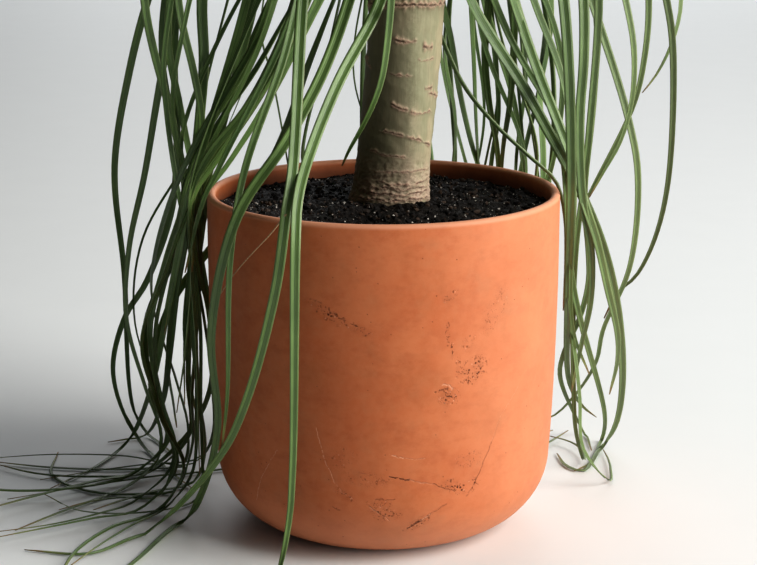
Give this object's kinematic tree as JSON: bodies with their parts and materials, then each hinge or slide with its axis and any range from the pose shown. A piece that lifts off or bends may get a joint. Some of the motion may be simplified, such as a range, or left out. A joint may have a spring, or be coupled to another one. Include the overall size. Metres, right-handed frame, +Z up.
{
  "type": "potted ponytail palm",
  "caption": "Ponytail palm in a terracotta pot: ringed leaning trunk in soil, with long narrow leaves that arch from its top, hang outside the pot and trail on the surface.",
  "frame": {"origin": "centre of the pot's flat foot, on the surface it stands on", "axes": "+Z up along the pot's axis, +X to the right and +Y to the back as seen from the open side, where few leaves hang in front of the pot"},
  "size_m": [0.4408, 0.313, 0.5179],
  "materials": {
    "terracotta": "unglazed, smooth satin",
    "peat": "loose and matte",
    "bark": "dry, ringed bark",
    "leaf": "smooth satin leaf"
  },
  "bodies": {
    "root": {"pot": "terracotta", "soil": "peat", "trunk": "bark", "leaf_head": "leaf"}
  },
  "joints": []
}
